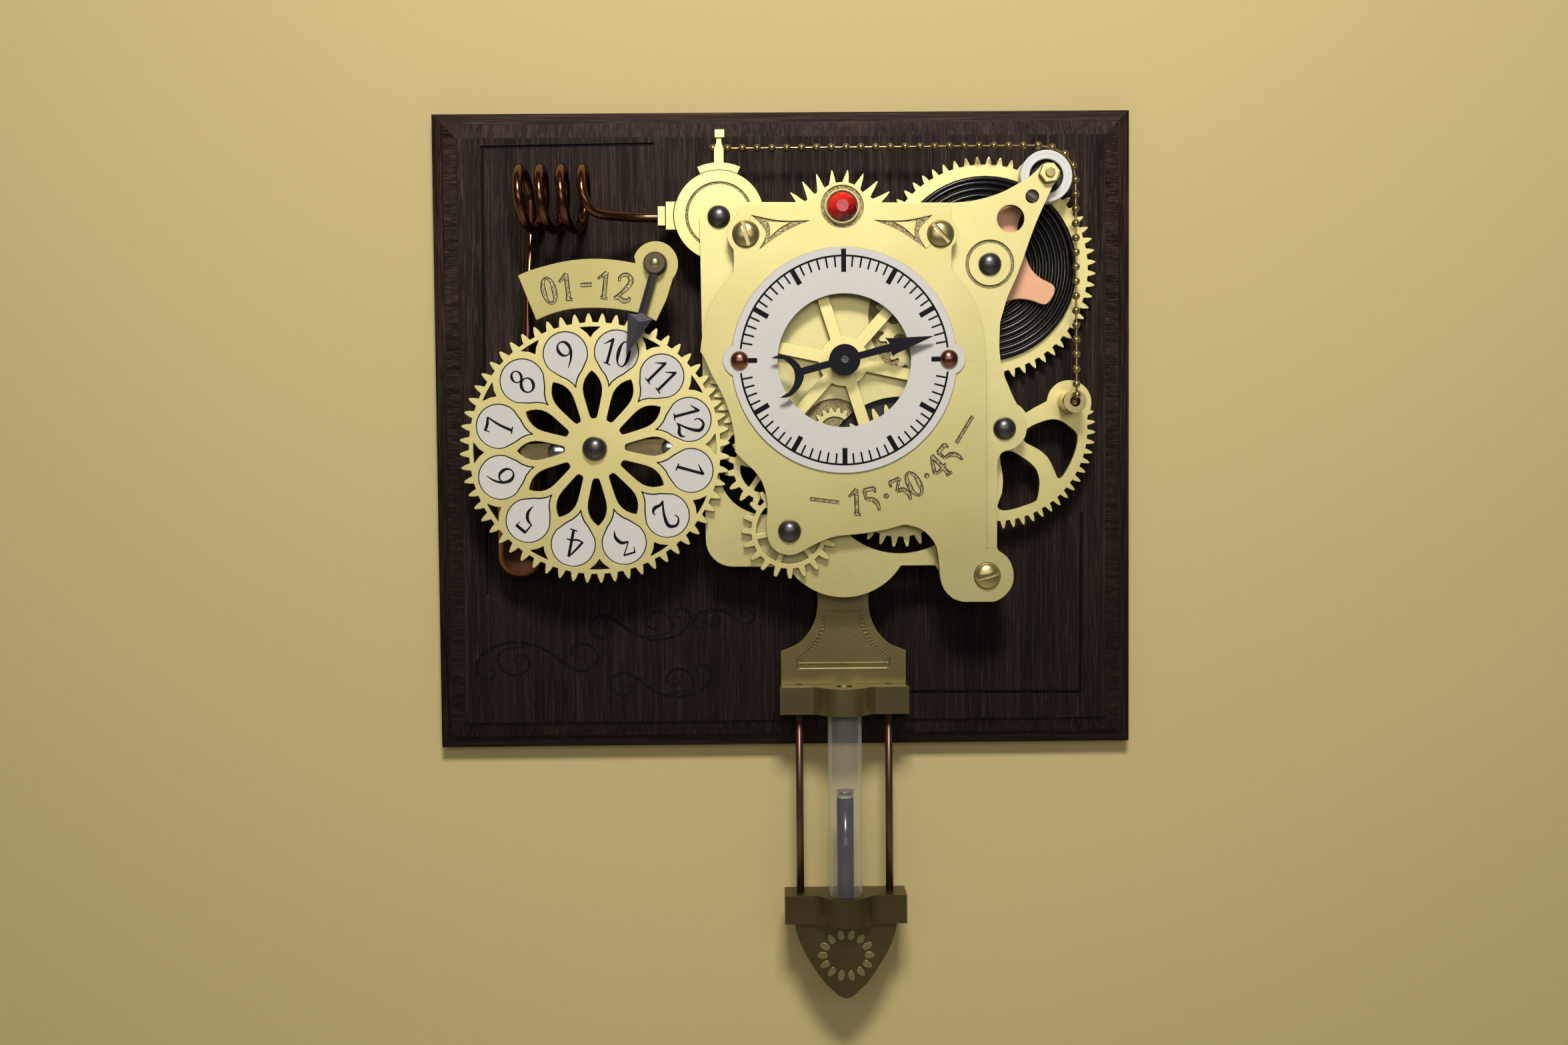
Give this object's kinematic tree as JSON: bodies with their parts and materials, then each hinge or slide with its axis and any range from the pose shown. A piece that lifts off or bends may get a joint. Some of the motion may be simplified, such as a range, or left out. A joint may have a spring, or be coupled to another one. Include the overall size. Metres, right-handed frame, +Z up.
{
  "type": "pendulum clock model",
  "caption": "Wall clock model: wooden board with a brass gear train, round minute dial, numbered hour gear, bead chain, coiled copper tube and a swinging pendulum.",
  "frame": {"origin": "centre of the board's back face, on the wall", "axes": "+X to the right and +Z up as seen from the front, the front faces -Y and +Y points into the wall"},
  "size_m": [0.3, 0.051, 0.3791],
  "materials": {
    "wood": "dark stained open-grain plywood, satin",
    "plate_brass": "satin brushed brass with soft edge wear",
    "gear_brass": "satin cut brass",
    "old_brass": "warm turned brass",
    "dark_nail": "black gloss dome",
    "copper": "worn copper, satin",
    "white_face": "matt white with black print",
    "jewel_red": "faceted red glass",
    "black_hand": "satin black",
    "dark_bronze": "dark bronze, satin",
    "steel": "plain bright steel",
    "silver": "polished nickel",
    "black_plastic": "moulded black",
    "white_plastic": "moulded white",
    "battery_green": "plain sleeve",
    "pcb_green": "lacquered board",
    "clear_glass": "clear tube",
    "indigo": "dark indigo gloss",
    "spring_black": "blued black spring steel",
    "cream": "cream and silver"
  },
  "bodies": {
    "frame": {"backboard": "wood", "board_posts": "old_brass", "main_plate": "plate_brass", "front_plate": "plate_brass", "plate_spacers": "old_brass", "dome_nails": "dark_nail", "plate_screws": "old_brass", "dial_ring": "white_face", "dial_nails": "copper", "jewel_bezel": "old_brass", "jewel": "jewel_red", "hours_plaque": "plate_brass", "plaque_post": "dark_bronze", "hour_pointer": "dark_bronze", "pointer_dome": "old_brass", "gear_bridge": "plate_brass", "bridge_posts": "old_brass", "bridge_screws": "silver", "hour_gear_stud": "steel", "small_gear_stud": "old_brass", "movement_case": "black_plastic", "movement_cover": "black_plastic", "battery": "battery_green", "circuit_board": "pcb_green", "drive_coil": "copper", "escape_wheel": "gear_brass", "barrel_wheel": "gear_brass", "mainspring": "spring_black", "ratchet_hub": "copper", "sector_wheel": "gear_brass", "chain_tube": "old_brass", "pulley_screw": "steel", "pulley_nut": "steel", "bead_chain": "silver", "gauge_disc": "plate_brass", "gauge_fittings": "old_brass", "copper_tube": "copper", "copper_vessel": "copper", "inset_gear_small": "gear_brass", "inset_gear_large": "gear_brass"},
    "minute": {"minute_arbor": "steel", "minute_hand": "black_hand"},
    "motion": {"motion_wheel": "white_plastic"},
    "hour": {"hour_tube": "old_brass", "hour_wheel": "gear_brass"},
    "hour_disc": {"hour_gear": "gear_brass", "hour_gear_hub": "gear_brass", "number_tiles": "white_face"},
    "idler": {"small_gear": "gear_brass", "small_gear_hub": "gear_brass"},
    "pendulum": {"pendulum_hanger": "steel", "head_plate": "plate_brass", "upper_block": "old_brass", "lower_block": "old_brass", "pendulum_rods": "copper", "glass_tube": "clear_glass", "inner_rod": "indigo", "tube_cap": "silver", "bob": "old_brass"},
    "pulley_wheel": {"pulley": "cream"}
  },
  "joints": [
    {"name": "hour_disc_spin", "type": "hinge", "parent": "frame", "child": "hour_disc", "pos_m": [-0.07795, -0.04, -0.00739], "axis": [0, 1, 0], "continuous": true},
    {"name": "hour_spin", "type": "hinge", "parent": "frame", "child": "hour", "pos_m": [0.0246, -0.04, 0.0276], "axis": [0, 1, 0], "continuous": true},
    {"name": "minute_spin", "type": "hinge", "parent": "frame", "child": "minute", "pos_m": [0.0246, -0.04, 0.0276], "axis": [0, 1, 0], "continuous": true},
    {"name": "motion_spin", "type": "hinge", "parent": "frame", "child": "motion", "pos_m": [0.03665, -0.04, 0.0276], "axis": [0, 1, 0], "continuous": true},
    {"name": "idler_spin", "type": "hinge", "parent": "frame", "child": "idler", "pos_m": [0.00174, -0.04, -0.04194], "axis": [0, 1, 0], "continuous": true},
    {"name": "pendulum_swing", "type": "hinge", "parent": "frame", "child": "pendulum", "pos_m": [0.0246, -0.04, 0.038], "axis": [0, 1, 0], "range_deg": [-8, 8]},
    {"name": "pulley_spin", "type": "hinge", "parent": "frame", "child": "pulley_wheel", "pos_m": [0.1098, -0.04, 0.1042], "axis": [0, 1, 0], "continuous": true}
  ],
  "couplings": [
    {"joint": "hour_spin", "follows": "hour_disc_spin", "ratio": -1},
    {"joint": "minute_spin", "follows": "hour_disc_spin", "ratio": -12},
    {"joint": "motion_spin", "follows": "hour_disc_spin", "ratio": 4},
    {"joint": "idler_spin", "follows": "hour_disc_spin", "ratio": 3}
  ]
}
